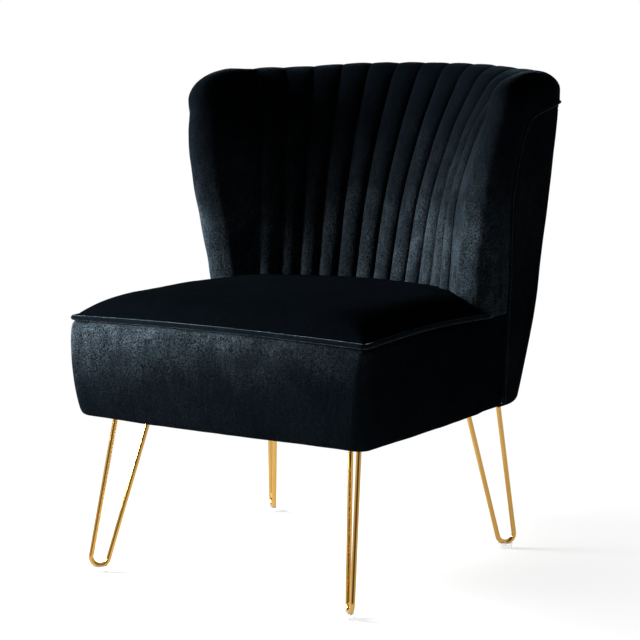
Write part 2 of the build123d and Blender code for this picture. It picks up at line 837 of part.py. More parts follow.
def wing_crest_section(height):
    """Wing where it closes over the top: its front edge falls away in a long curve."""
    draw = roll_inset(height, back_height, roll_height, crest_roll)
    nose_draw = roll_inset(height, wing_height, roll_height, crest_roll)
    half, rear, corner_centre, corner, joint, rear_size = outside_shape(height, draw)
    split = crest_split_angle * pi / 180
    seam, steps = wing_face_steps(height, draw, nose_draw)
    steps += [((half, corner_centre[1]),)]
    steps += [(polar(corner_centre, corner, split / 2), polar(corner_centre, corner, split)), (seam,)]
    return section(height, seam, steps)


with BuildPart() as wing_pad:
    for height in level_heights(pad_bottom, welt_height, back_levels):
        add(wing_section(height))
    loft()
    for share in crest_shares:
        add(wing_crest_section(welt_height + share * (wing_height - welt_height)))
    loft(ruled=True)
    strip_inner = frame_half_width + soft_gap
    strip_outer = outside_half_widths[0]
    with BuildSketch(Plane.XY.offset(seat_underside)):
        with Locations(((strip_inner + strip_outer) / 2, (border_rear_y + soft_gap + welt_y) / 2)):
            Rectangle(strip_outer - strip_inner, welt_y - border_rear_y - soft_gap)
    extrude(amount=pad_bottom - seat_underside)
    add(seat_piping.part, mode=Mode.SUBTRACT)
export(wing_pad.part, "wing_pad_right")
export(side_copy(wing_pad.part), "wing_pad_left")


# Outside of the back and the welt round it
def cover_section(height, outer_inset, inner_inset, front):
    """Band that follows the outside of the back from one side seam round to the other."""
    half, rear, centre, corner, joint, radius = outside_shape(height, outer_inset)
    inner = outside_shape(height, inner_inset)
    start = (0.0, rear)
    outer_steps = outside_steps(height, outer_inset, 0.0)
    inner_steps = outside_steps(height, inner_inset, 0.0)
    steps = reverse_steps((half, centre[1]), outer_steps)
    steps += [((half, front),), ((inner[0], front),), ((inner[0], inner[2][1]),)]
    steps += inner_steps
    return section(height, start, there_and_back(start, steps))


with BuildPart() as outside_back:
    for height in level_heights(seat_underside, welt_height - welt_size, back_levels):
        add(cover_section(height, 0.0, cover_thickness, welt_y + soft_gap))
    loft(ruled=True)
export(outside_back.part, "outside_back")

with BuildPart() as side_welt:
    for height in level_heights(seat_underside, welt_height, back_levels):
        half = outside_value(outside_half_widths, height)
        with BuildSketch(Plane.XY.offset(height)):
            with Locations((half + welt_proud / 2 + soft_gap, welt_y)):
                Rectangle(welt_proud, welt_size)
    loft(ruled=True)

with BuildPart() as outside_back_welt:
    add(cover_section(welt_height - welt_size + soft_gap, -welt_proud, cover_thickness, welt_y))
    extrude(amount=welt_size - 2 * soft_gap)
    add(side_welt.part)
    add(side_copy(side_welt.part))
export(outside_back_welt.part, "outside_back_welt")
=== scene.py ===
import json
import math

import bmesh
import bpy
from bpy.props import FloatProperty, FloatVectorProperty, IntProperty, PointerProperty
from bpy.types import Operator, Panel, PropertyGroup
from mathutils import Matrix, Vector, noise
from mathutils.kdtree import KDTree


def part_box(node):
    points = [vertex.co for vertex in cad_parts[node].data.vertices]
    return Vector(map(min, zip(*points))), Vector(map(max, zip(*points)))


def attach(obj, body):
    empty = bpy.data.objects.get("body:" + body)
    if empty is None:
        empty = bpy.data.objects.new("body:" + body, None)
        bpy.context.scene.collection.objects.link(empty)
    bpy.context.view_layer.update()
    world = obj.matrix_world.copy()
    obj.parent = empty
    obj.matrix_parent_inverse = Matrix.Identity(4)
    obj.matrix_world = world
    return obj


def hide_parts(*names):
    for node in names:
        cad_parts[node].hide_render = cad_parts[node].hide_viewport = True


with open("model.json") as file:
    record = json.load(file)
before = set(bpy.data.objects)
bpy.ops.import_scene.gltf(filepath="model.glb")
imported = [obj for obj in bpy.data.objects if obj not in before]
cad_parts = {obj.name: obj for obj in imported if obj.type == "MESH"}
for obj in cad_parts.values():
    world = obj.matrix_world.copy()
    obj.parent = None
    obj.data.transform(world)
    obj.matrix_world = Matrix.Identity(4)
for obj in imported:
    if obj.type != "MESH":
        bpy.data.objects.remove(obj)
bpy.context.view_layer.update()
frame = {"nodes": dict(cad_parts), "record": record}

bl_info = {
    "name": "Channel Back Side Chair",
    "version": (1, 0, 0),
    "blender": (4, 5, 0),
    "location": "3D View > Sidebar > Side Chair",
    "description": "Dresses the packed side chair in velvet and brass and sets its stage",
    "category": "Object",
}

# Measured heights and plan sizes of the back, in metres. A depth is counted from the front of the seat.
FRONT_Y = -0.32415
INSIDE_HEIGHTS = (0.439, 0.560, 0.671, 0.778)
INSIDE_HALF_WIDTHS = (0.1846, 0.1877, 0.205, 0.2454)
INSIDE_MIDDLE_DEPTHS = (0.4648, 0.4965, 0.5435, 0.605)
INSIDE_END_DEPTHS = (0.394, 0.4065, 0.434, 0.4877)
OUTSIDE_HEIGHTS = (0.251, 0.439, 0.572, 0.673, 0.736)
OUTSIDE_HALF_WIDTHS = (0.266, 0.272, 0.290, 0.306, 0.316)
OUTSIDE_REAR_DEPTHS = (0.578, 0.612, 0.626, 0.638, 0.648)
OUTSIDE_CORNER_RADII = (0.110, 0.056, 0.084, 0.120, 0.142)
REAR_RADIUS = 0.700
WELT_HEIGHT = 0.736
WELT_TURN_HEIGHT = 0.700
WELT_LEVELS = (
    0.251, 0.40, 0.45, 0.50, 0.55, 0.59, 0.62, 0.65, 0.681, 0.700, 0.712, 0.722, 0.730,
)
WELT_DEPTHS = (
    0.430, 0.432, 0.4335, 0.4225, 0.409, 0.4005, 0.3985, 0.400, 0.4045, 0.411, 0.420, 0.445, 0.486,
)
SEAT_UNDERSIDE = 0.251

# Rolled top edge of the back, by the share of the way from its middle to its last seam.
BACK_FOOT = 0.409
CREST_SHARES = (0.0, 0.4, 0.7, 1.0)
CREST_HEIGHTS = (0.794, 0.792, 0.786, 0.783)
CREST_ROLL = 0.029
CREST_PUFF_SHARE = 0.22
REAR_PUFF_SHARE = 0.6
HUMP_FLATNESS = 2.3
HUMP_ROUNDNESS = 0.72

# Wings.
WING_FRONT_LEVELS = (0.404, 0.455, 0.50, 0.545, 0.59, 0.635, 0.68, 0.712)
WING_FRONT_DEPTHS = (0.359, 0.3575, 0.351, 0.348, 0.343, 0.343, 0.350, 0.360)
WING_FOOT = 0.404
WING_NOSE = 0.022
WING_CORNER_FOOT = 0.712
WING_CORNER_POWER = 2.9
WING_RIDGE_RISE = 0.001
WING_PUFF = 0.0025

# Outside back and its welt.
PANEL_FOLD = 0.010
PANEL_PUFF = 0.0012
WELT_END_RISE = 0.011
WELT_PROUD_SHARE = 0.4
WELT_CENTRE_DEPTH = 0.390

# Painted light and shade: places between which a velvet's colour goes from painted shade to painted light,
# and the share of it left where it is shaded.
# Painted light towards the top of the seat band and its left front corner, painted shade towards its
# bottom.
BAND_PAINTED_LIGHT = ((-0.2559, -0.2593, 0.2775), (-0.270, -0.300, 0.395))
# Painted shade towards the top of the back, painted light lower down.
BACK_PAINTED_LIGHT = ((0.0, 0.0, 0.820), (0.0, 0.0, 0.515))
PAINTED_SHADE_RESIDUE = 0.03

# For each velvet: a lift of the brushed pile's colour, which makes lit and shaded copies of one velvet,
# painted light on the band and back and painted shade on the seat top, outside back and piping; its painted
# light and shade gradient; and its sheen.
VELVETS = {
    "velvet_seat_top": (0.05, None, 0.001),
    "velvet_band": (3.4, BAND_PAINTED_LIGHT, 0.006),
    "velvet_back": (1.4, BACK_PAINTED_LIGHT, 0.03),
    "velvet_outside": (0.4, None, 0.006),
    "velvet_piping": (0.3, None, 0.3),
}

# Broad and fine wave of each cover, as a seed and a size in metres, and the share of the fine wave.
RIPPLES = {
    "seat_top": ((3.1, 0.085), (5.7, 0.03), 0.4),
    "band": ((1.7, 0.11), (8.2, 0.035), 0.45),
    "channels": ((4.4, 0.05), (9.1, 0.02), 0.5),
    "wing": ((6.3, 0.09), (2.9, 0.03), 0.45),
    "outside": ((7.7, 0.12), (1.1, 0.04), 0.4),
}

# Seat.
SEAT_HALF_WIDTH = 0.2725
SEAT_CORNER = 0.012
BAND_CORNER = 0.030
PIPING_REAR_DEPTH = 0.388
SEAT_TOP_REAR_DEPTH = 0.462
SEAT_LINE = 0.406
FRONT_BOW = 0.003
FRONT_LIFT = 0.005
FRONT_LIFT_RUN = 0.08
SIDE_LIFT = 0.006
SEAT_TOP_INSET = 0.003
SEAT_TOP_DROP = 0.001
SEAT_SLACK = 1.6
CROWN_RUN = 0.112
CROWN_REAR_DROP = 0.12
CROWN_REAR_START = 0.22
CROWN_REAR_RUN = 0.24
LIFT_FADE_RUN = 0.1
SEAM_RUN = 0.03
BAND_SLACK = 1.2
BAND_BLEND = (0.345, 0.385)
BAND_OVER_FOOT = 0.006
BAND_TUCK = 0.0008
PIPING_PROUD = 0.0022
PIPING_TUCK = 0.007
PIPING_TUCK_RUN = 0.014
BORDER_HEIGHTS = (0.2508, 0.2510, 0.2535, 0.2605, 0.275, 0.300, 0.335, 0.370, 0.394, 0.4015)
BORDER_OFFSETS = (-0.025, -0.0125, -0.0065, -0.0025, 0.0006, 0.0034, 0.0050, 0.0042, 0.0008, -0.004)

# Dust cover.
CLOTH_STEPS = 40
CLOTH_SAG = 0.0025
CLOTH_LIFT = 0.0012
CLOTH_THICKNESS = 0.0006

# Studio.
SENSOR_WIDTH = 36.0
FLOOR_HALF_SIZE = 7.0
FLOOR_DROP = 0.0006
SHADOW_START = 0.30
SHADOW_FADE = 1.6
SHADOW_SHARE = 0.3
TOP_SHARE = 0.5
DARK_START = 0.42
DARK_FADE = 4.0


class ChairSizes(PropertyGroup):
    """Sizes of the upholstery that a user would change."""

    channel_count: IntProperty(
        name="Channels", description="Padded channels across the back", default=12, min=4,
    )
    channel_puff: FloatProperty(
        name="Channel Puff", description="How far a channel stands out from its seams",
        default=0.0085, unit="LENGTH",
    )
    seat_crown: FloatProperty(
        name="Seat Crown", description="Rise of the seat pad above its piping",
        default=0.040, unit="LENGTH",
    )
    piping_radius: FloatProperty(
        name="Piping Radius", description="Radius of the seat piping", default=0.004, unit="LENGTH",
    )
    welt_radius: FloatProperty(
        name="Welt Radius", description="Radius of the welt round the outside back",
        default=0.0025, unit="LENGTH",
    )
    cover_thickness: FloatProperty(
        name="Cover Thickness", description="Velvet and wadding together", default=0.006, unit="LENGTH",
    )
    slack: FloatProperty(
        name="Slack", description="Unevenness of the stuffed velvet", default=0.0009, unit="LENGTH",
    )


class ChairColours(PropertyGroup):
    """Colours of the chair's finishes."""

    velvet_deep: FloatVectorProperty(
        name="Velvet Deep", description="Velvet where the pile stands towards the eye",
        default=(0.0010, 0.0016, 0.0024), subtype="COLOR",
    )
    # Each cover's lift scales this colour into painted light or painted shade.
    velvet_brushed: FloatVectorProperty(
        name="Velvet Brushed", description="Velvet where the pile is crushed over",
        default=(0.028, 0.038, 0.046), subtype="COLOR",
    )
    velvet_sheen: FloatVectorProperty(
        name="Velvet Sheen", description="Tint of the light on the pile's tips",
        default=(0.50, 0.74, 0.92), subtype="COLOR",
    )
    brass: FloatVectorProperty(
        name="Brass", description="Gold-coloured plating of the legs",
        default=(0.52, 0.31, 0.085), subtype="COLOR",
    )
    glide: FloatVectorProperty(
        name="Glides", description="Clear plastic of the floor glides",
        default=(0.96, 0.97, 0.98), subtype="COLOR",
    )
    timber: FloatVectorProperty(
        name="Timber", description="Softwood of the hidden frame",
        default=(0.56, 0.39, 0.23), subtype="COLOR",
    )
    floor: FloatVectorProperty(
        name="Floor", description="Studio floor and backdrop", default=(0.92, 0.92, 0.92), subtype="COLOR",
    )


class ChairStage(PropertyGroup):
    """The camera and the studio light."""

    lens: FloatProperty(name="Lens", description="Focal length", default=112.5, unit="CAMERA")
    distance: FloatProperty(name="Distance", description="Camera to target", default=3.17628, unit="LENGTH")
    azimuth: FloatProperty(
        name="Azimuth", description="Camera's turn to the chair's left-hand side seen from the front",
        default=math.radians(33.28), subtype="ANGLE",
    )
    elevation: FloatProperty(
        name="Elevation", description="Camera's height as an angle",
        default=math.radians(8.23), subtype="ANGLE",
    )
    target: FloatVectorProperty(
        name="Target", description="Point in the middle of the picture",
        default=(0.02382, -0.05915, 0.39406), subtype="TRANSLATION",
    )
    key_power: FloatProperty(
        name="Key", description="Power of the large lamp on the left, in watts", default=330.0,
    )
    fill_power: FloatProperty(
        name="Fill", description="Power of the lamp on the right, in watts", default=4.0,
    )
    dark_front: FloatProperty(
        name="Dark Front", description="How dark the room before and behind the chair is in reflections",
        default=0.9, max=1.0,
    )
    ambient: FloatProperty(name="Ambient", description="Strength of the light from all round", default=0.06)


def steady(places, values, place):
    """A smooth value through measured ones that never swings past them and runs straight on at the ends."""
    spans = [b - a for a, b in zip(places, places[1:])]
    steps = [(b - a) / span for a, b, span in zip(values, values[1:], spans)]
    slopes = [steps[0]]
    for before, after in zip(steps, steps[1:]):
        slopes.append(0.0 if before * after <= 0 else 2 * before * after / (before + after))
    slopes.append(steps[-1])
    if place <= places[0]:
        return values[0] + slopes[0] * (place - places[0])
    if place >= places[-1]:
        return values[-1] + slopes[-1] * (place - places[-1])
    i = max(k for k in range(len(spans)) if places[k] <= place)
    t = (place - places[i]) / spans[i]
    start = (1 + 2 * t) * (1 - t) ** 2 * values[i] + t * (1 - t) ** 2 * spans[i] * slopes[i]
    end = t * t * (3 - 2 * t) * values[i + 1] - t * t * (1 - t) * spans[i] * slopes[i + 1]
    return start + end


def mix(a, b, share):
    """The value at a share of the way from a to b."""
    return a + (b - a) * share


def ease(share):
    """A share held between 0 and 1, with a soft start and end."""
    share = min(max(share, 0.0), 1.0)
    return share * share * (3 - 2 * share)


def inside_arc(height):
    """Plan arc of the channel seams: its centre's depth, its radius and the angle of the last seam."""
    half = steady(INSIDE_HEIGHTS, INSIDE_HALF_WIDTHS, height)
    middle = steady(INSIDE_HEIGHTS, INSIDE_MIDDLE_DEPTHS, height)
    end = steady(INSIDE_HEIGHTS, INSIDE_END_DEPTHS, height)
    centre = (middle ** 2 - end ** 2 - half ** 2) / (2 * (middle - end))
    return centre, middle - centre, math.atan2(half, end - centre)


def inside_point(share, height):
    """Point on the inside back, share running from -1 at one last seam to 1 at the other."""
    centre, radius, last = inside_arc(height)
    angle = share * last
    return Vector((radius * math.sin(angle), FRONT_Y + centre + radius * math.cos(angle), height))


def outside_arcs(height):
    """Plan of the outside: half width, rear centre's depth, corner radius and centre, joint angle."""
    level = min(height, WELT_HEIGHT)
    half = steady(OUTSIDE_HEIGHTS, OUTSIDE_HALF_WIDTHS, level)
    rear = steady(OUTSIDE_HEIGHTS, OUTSIDE_REAR_DEPTHS, level) - REAR_RADIUS
    corner = steady(OUTSIDE_HEIGHTS, OUTSIDE_CORNER_RADII, level)
    across = half - corner
    along = math.sqrt((REAR_RADIUS - corner) ** 2 - across ** 2)
    return half, rear, corner, across, rear + along, math.atan2(across, along)


def outside_point(share, height):
    """Point on the outside that lies behind the same point of the inside back."""
    centre, _, last = inside_arc(height)
    angle = abs(share) * last
    across, along = math.sin(angle), math.cos(angle)
    half, rear, corner, corner_x, corner_depth, joint = outside_arcs(height)
    gap = centre - rear
    reach = -gap * along + math.sqrt((gap * along) ** 2 - gap ** 2 + REAR_RADIUS ** 2)
    if across and centre + half * along / across <= corner_depth:
        reach = half / across
    elif math.atan2(reach * across, gap + reach * along) > joint:
        x, y = -corner_x, centre - corner_depth
        toward = x * across + y * along
        reach = -toward + math.sqrt(toward ** 2 - x * x - y * y + corner ** 2)
    x = math.copysign(reach * across, share)
    return Vector((x, FRONT_Y + centre + reach * along, height))


def side_point(depth, height):
    """Point on the right-hand outside at a depth in front of or on its rear corner."""
    half, _, corner, corner_x, corner_depth, _ = outside_arcs(height)
    x = half
    if depth > corner_depth:
        x = corner_x + math.sqrt(max(corner ** 2 - (depth - corner_depth) ** 2, 0.0))
    return Vector((x, FRONT_Y + depth, height))


def welt_depth(height):
    """Depth of the side seam, nearly upright and then turning backwards to the top seam."""
    end = outside_point(1.0, WELT_HEIGHT).y - FRONT_Y
    return steady((*WELT_LEVELS, WELT_HEIGHT), (*WELT_DEPTHS, end), min(height, WELT_HEIGHT))


def back_meridian(share, inside_rows, roll_rows, rear_rows):
    """Line up the inside back, over the rolled top edge and down to the seam of the outside back."""
    top = steady(CREST_SHARES, CREST_HEIGHTS, abs(share))
    start = top - CREST_ROLL
    line = [inside_point(share, mix(BACK_FOOT, start, i / inside_rows)) for i in range(inside_rows)]
    for i in range(roll_rows):
        angle = math.pi * i / roll_rows
        height = start + CREST_ROLL * math.sin(angle)
        inner, outer = inside_point(share, height), outside_point(share, height)
        line.append(outer.lerp(inner, 0.5 + 0.5 * math.cos(angle)))
    for i in range(rear_rows + 1):
        line.append(outside_point(share, mix(start, WELT_HEIGHT, i / rear_rows)))
    return line


def grid_normals(points):
    """Outward directions of a grid of points, from the differences between neighbours."""
    rows, columns = len(points), len(points[0])
    normals = []
    for r in range(rows):
        line = []
        for c in range(columns):
            across = points[r][min(c + 1, columns - 1)] - points[r][max(c - 1, 0)]
            along = points[min(r + 1, rows - 1)][c] - points[max(r - 1, 0)][c]
            line.append(across.cross(along).normalized())
        normals.append(line)
    return normals


def lay_patch(bm, points):
    """Lays a grid of faces through points, given row by row."""
    rows, columns = len(points) - 1, len(points[0]) - 1
    made = bmesh.ops.create_grid(bm, x_segments=columns, y_segments=rows, size=0.5)
    for vert in made["verts"]:
        column = round((vert.co.x + 0.5) * columns)
        row = round((vert.co.y + 0.5) * rows)
        vert.co = points[row][column]


def unevenness(point, seed, size):
    """A smooth wave between -1 and 1 through space."""
    return noise.noise(point / size + Vector((seed, 2.3 * seed, 0.7 * seed)))


def ripple(point, cover):
    """How a stuffed cover swells and sinks at a point."""
    broad, fine, share = RIPPLES[cover]
    return unevenness(point, *broad) + share * unevenness(point, *fine)


def finish_piece(bm, name, material, nodes, thickness=0.0):
    """Makes the mesh an object that rides on the chair and stands for its solids."""
    mesh = bpy.data.meshes.new(name)
    bm.to_mesh(mesh)
    bm.free()
    for polygon in mesh.polygons:
        polygon.use_smooth = True
    mesh.materials.append(material)
    piece = bpy.data.objects.new(name, mesh)
    bpy.context.scene.collection.objects.link(piece)
    if thickness:
        wall = piece.modifiers.new("wadding", "SOLIDIFY")
        wall.thickness = thickness
        wall.offset = -1.0
        wall.use_even_offset = True
        wall.thickness_clamp = 1.0
    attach(piece, "root")
    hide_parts(*nodes)
    return piece


def sew_pad(points, name, cover, node, mirror=False):
    """A velvet cover with its wadding through rows of points, or through their mirror image."""
    bm = bmesh.new()
    lay_patch(bm, points)
    if mirror:
        bmesh.ops.transform(bm, matrix=Matrix.Scale(-1.0, 4, (1.0, 0.0, 0.0)), verts=bm.verts)
        bmesh.ops.reverse_faces(bm, faces=bm.faces)
    thickness = bpy.context.scene.chair_sizes.cover_thickness
    return finish_piece(bm, name, velvet(cover), [node], thickness)


def sew_tube(name, points, radius, node):
    """Velvet piping over a cord, as a closed tube along sewn points."""
    curve = bpy.data.curves.new(name, "CURVE")
    curve.dimensions = "3D"
    curve.bevel_depth = radius
    curve.bevel_resolution = 4
    curve.use_fill_caps = True
    spline = curve.splines.new("POLY")
    spline.points.add(len(points) - 1)
    for knot, point in zip(spline.points, points):
        knot.co = (*point, 1.0)
    line = bpy.data.objects.new(name + "_line", curve)
    bpy.context.scene.collection.objects.link(line)
    bpy.context.view_layer.update()
    mesh = bpy.data.meshes.new_from_object(line.evaluated_get(bpy.context.evaluated_depsgraph_get()))
    bpy.data.objects.remove(line)
    bm = bmesh.new()
    bm.from_mesh(mesh)
    bpy.data.meshes.remove(mesh)
    bmesh.ops.remove_doubles(bm, verts=bm.verts, dist=1e-6)
    bmesh.ops.recalc_face_normals(bm, faces=bm.faces)
    finish_piece(bm, name, velvet("velvet_piping"), [node])


class Wire:
    """A shader socket. Sums, products and powers of wires add Math nodes to its tree."""

    def __init__(self, tree, socket=None):
        self.tree = tree
        self.socket = socket

    def make(self, kind, settings=None, inputs=None, output=0):
        """Adds a node, applies its settings, feeds its sockets and gives one of its outputs."""
        node = self.tree.nodes.new(kind)
        for name, value in (settings or {}).items():
            setattr(node, name, value)
        for key, value in (inputs or {}).items():
            if isinstance(value, Wire):
                self.tree.links.new(value.socket, node.inputs[key])
            else:
                node.inputs[key].default_value = value
        return Wire(self.tree, node.outputs[output] if len(node.outputs) else None)

    def math(self, operation, first, second, clamp=False):
        """Adds a Math node."""
        settings = {"operation": operation, "use_clamp": clamp}
        return self.make("ShaderNodeMath", settings, {0: first, 1: second})

    def __add__(self, other):
        return self.math("ADD", self, other)

    __radd__ = __add__

    def __sub__(self, other):
        return self.math("SUBTRACT", self, other)

    def __rsub__(self, other):
        return self.math("SUBTRACT", other, self)

    def __mul__(self, other):
        return self.math("MULTIPLY", self, other)

    __rmul__ = __mul__

    def __truediv__(self, other):
        return self.math("DIVIDE", self, other)

    def __pow__(self, other):
        return self.math("POWER", self, other)

    def clamped(self):
        """This value held between 0 and 1."""
        return self.math("ADD", self, 0.0, clamp=True)

    def blend(self, first, second):
        """Mixes two colours by this wire's value."""
        shades = [(*c, 1.0) if isinstance(c, (tuple, list)) else c for c in (first, second)]
        return self.make("ShaderNodeMix", {"data_type": "RGBA"}, {0: self, 6: shades[0], 7: shades[1]}, 2)


def start_material(name):
    """A new material with an empty tree, and a wire to build it from."""
    material = bpy.data.materials.new(name)
    material.use_nodes = True
    material.node_tree.nodes.clear()
    return material, Wire(material.node_tree)


def close_material(tree, sockets):
    """Ends a tree in one Principled shader with these sockets."""
    surface = tree.make("ShaderNodeBsdfPrincipled", None, sockets)
    tree.make("ShaderNodeOutputMaterial", None, {"Surface": surface})


def object_place(tree, scale=(1.0, 1.0, 1.0)):
    """Object coordinates in metres, stretched by a scale."""
    place = tree.make("ShaderNodeTexCoord", None, None, "Object")
    return tree.make("ShaderNodeMapping", None, {"Vector": place, "Scale": scale})


def clouds(tree, place, scale, detail, roughness=0.5, distortion=0.0):
    """Noise values between 0 and 1 at a scale per metre."""
    sockets = {
        "Vector": place, "Scale": scale, "Detail": detail, "Roughness": roughness, "Distortion": distortion,
    }
    return tree.make("ShaderNodeTexNoise", None, sockets, "Fac")


def bump(tree, height, distance, strength):
    """Normals bent by a height value."""
    sockets = {"Height": height, "Distance": distance, "Strength": strength}
    return tree.make("ShaderNodeBump", None, sockets, "Normal")


def dot_product(tree, way, fixed):
    """The part of a place or direction that runs along a fixed direction."""
    sockets = {0: way, 1: tuple(fixed)}
    return tree.make("ShaderNodeVectorMath", {"operation": "DOT_PRODUCT"}, sockets, "Value")


def plain(colour):
    """A colour property as a tuple."""
    return tuple(colour)


def velvet(name):
    """Short pile, near black, crushed in soft patches, with each cover's painted light and shade, made once
    under each name.
    """
    found = bpy.data.materials.get(name)
    if found:
        return found
    lift, painted_light, sheen = VELVETS[name]
    colours = bpy.context.scene.chair_colours
    material, tree = start_material(name)
    place = object_place(tree)
    upright = object_place(tree, (1.0, 1.0, 0.35))
    crush = clouds(tree, place, scale=13.0, detail=3.0, roughness=0.55, distortion=0.6)
    strokes = clouds(tree, upright, scale=62.0, detail=2.0, distortion=0.8)
    pile = clouds(tree, place, scale=430.0, detail=2.0, roughness=0.7)
    brushed = ((crush - 0.40) * 2.2 + (strokes - 0.5) * 1.2).clamped()
    tips = ((pile - 0.36) * 3.0).clamped() * (brushed * 0.7 + 0.3)
    # Painted light and shade: the pile's colour is scaled from painted shade at one place to painted light
    # at the other.
    if painted_light:
        dark, bright = Vector(painted_light[0]), Vector(painted_light[1])
        run = (bright - dark) / (bright - dark).length_squared
        along = dot_product(tree, place, run) - dark.dot(run)
        tips = tips * (along.clamped() ** 3 * (1 - PAINTED_SHADE_RESIDUE) + PAINTED_SHADE_RESIDUE)
    # Painted light and shade: each cover's lift brightens or darkens the brushed colour, making lit and
    # shaded copies of one velvet.
    light = tuple(lift * c for c in colours.velvet_brushed)
    relief = crush * 0.45 + strokes * 0.3 + pile * 0.22
    close_material(tree, {
        "Base Color": tips.blend(plain(colours.velvet_deep), light),
        "Roughness": 0.85 - brushed * 0.15,
        "Specular IOR Level": 0.0,
        "Sheen Weight": sheen,
        "Sheen Roughness": 0.26,
        "Sheen Tint": (*colours.velvet_sheen, 1.0),
        "Normal": bump(tree, relief, distance=0.004, strength=0.8),
    })
    return material


def brass(name):
    """Polished gold-coloured plating with faint wipe marks."""
    material, tree = start_material(name)
    place = object_place(tree)
    wipes = clouds(tree, object_place(tree, (1.0, 1.0, 0.12)), scale=240.0, detail=3.0)
    smudge = clouds(tree, place, scale=26.0, detail=2.0)
    base = plain(bpy.context.scene.chair_colours.brass)
    warm = tuple(c * k for c, k in zip(base, (0.92, 0.86, 0.74)))
    close_material(tree, {
        "Base Color": smudge.blend(base, warm),
        "Metallic": 1.0,
        "Roughness": 0.05 + wipes * 0.06 + smudge * 0.04,
        "Normal": bump(tree, wipes, distance=0.0002, strength=0.25),
    })
    return material


def glide_plastic(name):
    """Milky clear plastic with moulding haze."""
    material, tree = start_material(name)
    place = object_place(tree)
    haze = clouds(tree, place, scale=150.0, detail=3.0)
    base = plain(bpy.context.scene.chair_colours.glide)
    close_material(tree, {
        "Base Color": haze.blend(base, tuple(0.9 * c for c in base)),
        "Roughness": 0.05 + haze * 0.1,
        "Transmission Weight": 0.9,
        "IOR": 1.49,
        "Normal": bump(tree, haze, distance=0.0003, strength=0.3),
    })
    return material


def zinc(name):
    """Zinc-plated steel of the screws and bolts."""
    material, tree = start_material(name)
    spangle = clouds(tree, object_place(tree), scale=420.0, detail=3.0)
    close_material(tree, {
        "Base Color": spangle.blend((0.55, 0.56, 0.58), (0.7, 0.7, 0.7)),
        "Metallic": 1.0,
        "Roughness": 0.28 + spangle * 0.2,
    })
    return material


def sawn_timber(name, colour, stretch, ply=False):
    """Sawn wood with growth rings, or the edge layers of plywood."""
    material, tree = start_material(name)
    place = object_place(tree, stretch)
    direction, scale, distortion = ("Z", 60.0, 0.4) if ply else ("Y", 14.0, 3.2)
    sockets = {"Vector": place, "Scale": scale, "Distortion": distortion, "Detail": 3.0}
    settings = {"bands_direction": direction, "wave_profile": "SAW"}
    rings = tree.make("ShaderNodeTexWave", settings, sockets, "Fac")
    close = object_place(tree, tuple(3 * s for s in stretch))
    fibre = clouds(tree, close, scale=120.0, detail=4.0, roughness=0.6)
    mask = (rings * 0.6 + fibre * 0.5).clamped()
    close_material(tree, {
        "Base Color": mask.blend(colour, tuple(0.62 * c for c in colour)),
        "Roughness": 0.62 + fibre * 0.25,
        "Normal": bump(tree, mask, distance=0.0006, strength=0.4),
    })
    return material


def woven(name, dark, light, scale, pitch):
    """Plain-woven or felted cloth, with crossing threads."""
    material, tree = start_material(name)
    place = object_place(tree)
    threads = {"Vector": place, "Scale": pitch}
    warp = tree.make("ShaderNodeTexWave", {"bands_direction": "X"}, threads, "Fac")
    weft = tree.make("ShaderNodeTexWave", {"bands_direction": "Y"}, threads, "Fac")
    fuzz = clouds(tree, place, scale, detail=3.0)
    mask = (warp * weft + fuzz * 0.5).clamped()
    close_material(tree, {
        "Base Color": mask.blend(dark, light),
        "Roughness": 0.85 + fuzz * 0.1,
        "Normal": bump(tree, mask, distance=0.0005, strength=0.5),
    })
    return material


def cell_foam(name):
    """Open-cell seat foam."""
    material, tree = start_material(name)
    place = object_place(tree)
    cells = tree.make("ShaderNodeTexVoronoi", None, {"Vector": place, "Scale": 420.0}, "Distance")
    close_material(tree, {
        "Base Color": cells.blend((0.62, 0.55, 0.34), (0.86, 0.8, 0.6)),
        "Roughness": 0.9 - cells * 0.1,
        "Normal": bump(tree, cells, distance=0.001, strength=0.6),
    })
    return material


def seat_edge(half, corner, rear_depth, side_steps, corner_steps, front_steps):
    """Plan of the seat from its left rear round the front to its right rear, with outward directions."""
    straight = half - corner
    edge = []
    for i in range(side_steps):
        depth = mix(rear_depth, corner + FRONT_BOW, i / side_steps)
        edge.append((-half, depth, Vector((-1.0, 0.0, 0.0))))
    for i in range(corner_steps):
        angle = math.pi / 2 * i / corner_steps
        out = Vector((-math.cos(angle), -math.sin(angle), 0.0))
        edge.append((-straight + corner * out.x, corner + FRONT_BOW + corner * out.y, out))
    for i in range(front_steps + 1):
        x = mix(-straight, 0.0, i / front_steps)
        edge.append((x, FRONT_BOW * (x / straight) ** 2, Vector((0.0, -1.0, 0.0))))
    mirrored = [(-x, depth, Vector((-out.x, out.y, 0.0))) for x, depth, out in edge[:-1]]
    return edge + mirrored[::-1]


def seat_line_lift(x, depth):
    """Rise of the piping, highest in the middle of the front and half-way along each side."""
    share = min(max((depth - SEAT_CORNER) / (PIPING_REAR_DEPTH - SEAT_CORNER), 0.0), 1.0)
    front = max(1 - (x / SEAT_HALF_WIDTH) ** 2, 0.0) * (1 - ease(depth / FRONT_LIFT_RUN))
    return SIDE_LIFT * math.sin(math.pi * share) + FRONT_LIFT * front


def swell(distance, run):
    """Share of the full crown at a distance from a sewn edge."""
    return 1 - (1 - min(max(distance / run, 0.0), 1.0)) ** 3


def nearer(first, second):
    """The smaller of two distances, rounded where they are alike."""
    if min(first, second) <= 0:
        return 0.0
    return (first ** -4 + second ** -4) ** -0.25


